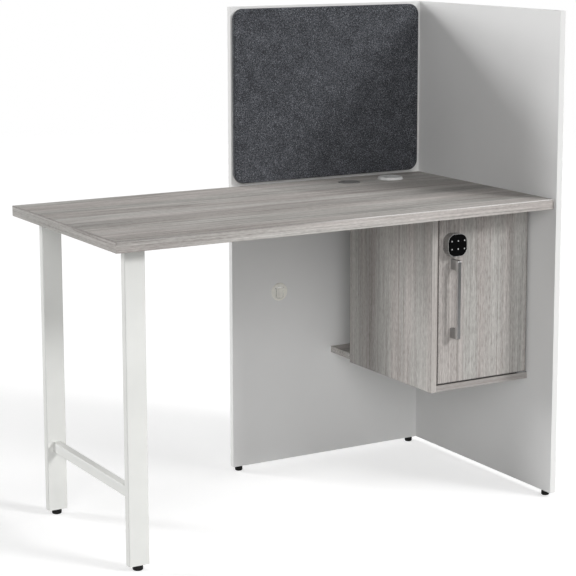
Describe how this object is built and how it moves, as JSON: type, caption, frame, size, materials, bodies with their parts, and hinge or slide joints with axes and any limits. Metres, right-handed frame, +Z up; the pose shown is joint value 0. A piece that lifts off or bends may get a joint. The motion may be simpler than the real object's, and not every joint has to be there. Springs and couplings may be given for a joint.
{
  "type": "cubicle workstation",
  "caption": "Corner workstation with a desktop on a tube leg frame, two tall panels, a felt tackboard and a hanging cabinet with a keypad lock and bow pull.",
  "frame": {"origin": "on the floor under the middle of the bounding box", "axes": "+X along the desk to the side panel, +Y to the back panel, +Z up"},
  "size_m": [1.199, 0.618, 1.22],
  "materials": {
    "white_laminate": "smooth white laminate on particle board",
    "white_edge": "white edge band",
    "wood_laminate": "grey-brown wood-grain laminate",
    "wood_edge": "grey-brown edge band",
    "hardwood": "plain beech",
    "zinc": "zinc-plated steel",
    "brass": "plain brass",
    "white_paint": "off-white powder coat",
    "black_plastic": "black moulded plastic",
    "black_gloss": "black gloss plastic",
    "black_rubber": "black rubber",
    "white_plastic": "white moulded plastic",
    "grey_plastic": "dark grey moulded plastic",
    "cream_plastic": "cream moulded plastic",
    "felt": "charcoal heather felt",
    "satin_metal": "satin grey metal",
    "circuit_board": "green circuit board",
    "battery_steel": "steel cell case"
  },
  "bodies": {
    "workstation": {"back_panel": "white_laminate", "side_panel": "white_laminate", "back_panel_band": "white_edge", "side_panel_band": "white_edge", "desktop": "wood_laminate", "cabinet_side": "wood_laminate", "cabinet_bottom": "wood_laminate", "cabinet_back": "wood_laminate", "desktop_band": "wood_edge", "cabinet_bands": "wood_edge", "dowels": "hardwood", "cam_bolts": "zinc", "cam_discs": "zinc", "corner_brackets": "zinc", "desktop_screws": "zinc", "pivot_brackets": "zinc", "lock_keeper": "zinc", "fitting_screws": "zinc", "tackboard_clips": "zinc", "tackboard_screws": "zinc", "panel_glide_inserts": "brass", "leg_top_plate": "white_paint", "front_leg": "white_paint", "back_leg": "white_paint", "crossbar": "white_paint", "leg_plugs": "black_plastic", "door_stops": "black_rubber", "pivot_washer": "white_plastic", "raised_grommet_liner": "white_plastic", "flat_grommet_liner": "grey_plastic", "panel_outlet": "cream_plastic", "tackboard": "felt"},
    "cabinet_door": {"door": "wood_laminate", "door_band": "wood_edge", "pivot_bushes": "white_plastic", "handle": "satin_metal", "handle_screws": "zinc", "lock_housing": "satin_metal", "lock_face": "black_gloss", "lock_board": "circuit_board", "lock_battery": "battery_steel", "lock_motor": "black_plastic", "lock_nut": "zinc"},
    "lock_shaft": {"lock_spindle": "zinc", "lock_cam": "zinc", "lock_cam_screw": "zinc"},
    "raised_cap": {"raised_grommet_cap": "white_plastic"},
    "flat_cap": {"flat_grommet_cap": "grey_plastic"},
    "outlet_flap": {"panel_outlet_flap": "cream_plastic"},
    "top_left_key": {"key_top_left": "white_plastic"},
    "top_middle_key": {"key_top_middle": "white_plastic"},
    "top_right_key": {"key_top_right": "white_plastic"},
    "bottom_left_key": {"key_bottom_left": "white_plastic"},
    "bottom_middle_key": {"key_bottom_middle": "white_plastic"},
    "bottom_right_key": {"key_bottom_right": "white_plastic"},
    "back_left_foot": {"glide_back_left": "black_plastic"},
    "back_right_foot": {"glide_back_right": "black_plastic"},
    "side_front_foot": {"glide_side_front": "black_plastic"},
    "leg_front_foot": {"glide_leg_front": "black_plastic"},
    "leg_back_foot": {"glide_leg_back": "black_plastic"}
  },
  "joints": [
    {"name": "door_hinge", "type": "hinge", "parent": "workstation", "child": "cabinet_door", "pos_m": [0.5655, -0.197, 0.304], "axis": [0, 0, 1], "range_deg": [0, 90]},
    {"name": "lock_turn", "type": "hinge", "parent": "cabinet_door", "child": "lock_shaft", "pos_m": [0.3455, -0.205, 0.6555], "axis": [0, 1, 0], "range_deg": [0, 90]},
    {"name": "raised_cap_turn", "type": "hinge", "parent": "workstation", "child": "raised_cap", "pos_m": [0.4335, 0.206, 0.76], "axis": [0, 0, 1], "continuous": true},
    {"name": "flat_cap_turn", "type": "hinge", "parent": "workstation", "child": "flat_cap", "pos_m": [0.3055, 0.206, 0.76], "axis": [0, 0, 1], "continuous": true},
    {"name": "outlet_flap_hinge", "type": "hinge", "parent": "workstation", "child": "outlet_flap", "pos_m": [0.1425, 0.2895, 0.48], "axis": [-1, 0, 0], "range_deg": [0, 80]},
    {"name": "top_left_key_press", "type": "slide", "parent": "cabinet_door", "child": "top_left_key", "axis": [0, 1, 0], "range_m": [0, 0.0008], "stiffness_N_per_m": 150},
    {"name": "top_middle_key_press", "type": "slide", "parent": "cabinet_door", "child": "top_middle_key", "axis": [0, 1, 0], "range_m": [0, 0.0008], "stiffness_N_per_m": 150},
    {"name": "top_right_key_press", "type": "slide", "parent": "cabinet_door", "child": "top_right_key", "axis": [0, 1, 0], "range_m": [0, 0.0008], "stiffness_N_per_m": 150},
    {"name": "bottom_left_key_press", "type": "slide", "parent": "cabinet_door", "child": "bottom_left_key", "axis": [0, 1, 0], "range_m": [0, 0.0008], "stiffness_N_per_m": 150},
    {"name": "bottom_middle_key_press", "type": "slide", "parent": "cabinet_door", "child": "bottom_middle_key", "axis": [0, 1, 0], "range_m": [0, 0.0008], "stiffness_N_per_m": 150},
    {"name": "bottom_right_key_press", "type": "slide", "parent": "cabinet_door", "child": "bottom_right_key", "axis": [0, 1, 0], "range_m": [0, 0.0008], "stiffness_N_per_m": 150},
    {"name": "back_left_foot_turn", "type": "hinge", "parent": "workstation", "child": "back_left_foot", "pos_m": [0.0215, 0.299, 0], "axis": [0, 0, 1], "continuous": true},
    {"name": "back_right_foot_turn", "type": "hinge", "parent": "workstation", "child": "back_right_foot", "pos_m": [0.5615, 0.299, 0], "axis": [0, 0, 1], "continuous": true},
    {"name": "side_front_foot_turn", "type": "hinge", "parent": "workstation", "child": "side_front_foot", "pos_m": [0.5895, -0.279, 0], "axis": [0, 0, 1], "continuous": true},
    {"name": "leg_front_foot_turn", "type": "hinge", "parent": "workstation", "child": "leg_front_foot", "pos_m": [-0.5345, -0.245, 0], "axis": [0, 0, 1], "continuous": true},
    {"name": "leg_back_foot_turn", "type": "hinge", "parent": "workstation", "child": "leg_back_foot", "pos_m": [-0.5345, 0.214, 0], "axis": [0, 0, 1], "continuous": true}
  ]
}
